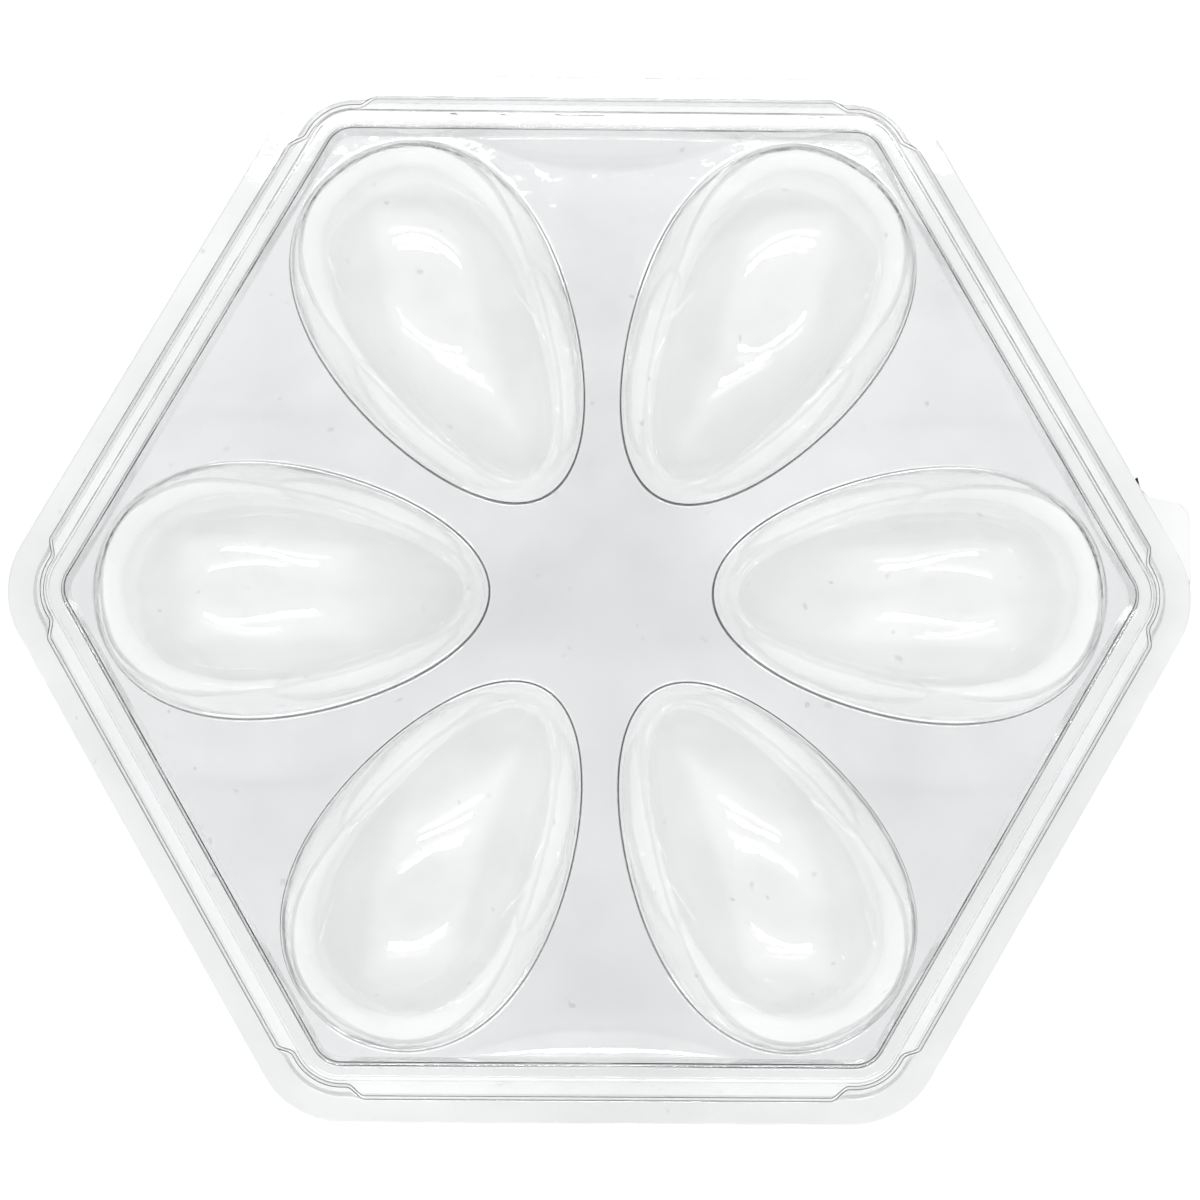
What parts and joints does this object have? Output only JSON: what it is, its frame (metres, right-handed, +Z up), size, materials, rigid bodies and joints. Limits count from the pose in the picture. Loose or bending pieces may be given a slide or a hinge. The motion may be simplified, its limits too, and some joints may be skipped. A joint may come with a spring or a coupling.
{
  "type": "egg carton",
  "caption": "Clear formed plastic egg pack: hexagonal tray with lying egg cups set like petals, and a matching lift-off lid with a corner tab.",
  "frame": {"origin": "middle of the hexagon, on the plane that the six cups stand on", "axes": "+Z up through the closed lid, +X through the corner that has the lift tab, +Y to the back, square to a flat side"},
  "size_m": [0.2126, 0.1884, 0.0452],
  "materials": {
    "tray_sheet": "clear gloss",
    "lid_sheet": "clear gloss"
  },
  "bodies": {
    "tray": {"tray_rim": "tray_sheet", "tray_deck": "tray_sheet", "cup_1": "tray_sheet", "cup_2": "tray_sheet", "cup_3": "tray_sheet", "cup_4": "tray_sheet", "cup_5": "tray_sheet", "cup_6": "tray_sheet"},
    "lid": {"lid_rim": "lid_sheet", "lid_deck": "lid_sheet", "dome_1": "lid_sheet", "dome_2": "lid_sheet", "dome_3": "lid_sheet", "dome_4": "lid_sheet", "dome_5": "lid_sheet", "dome_6": "lid_sheet", "lift_tab": "lid_sheet"}
  },
  "joints": [
    {"name": "lid_lift", "type": "slide", "parent": "tray", "child": "lid", "axis": [0, 0, 1], "range_m": [0, 0.06]}
  ]
}
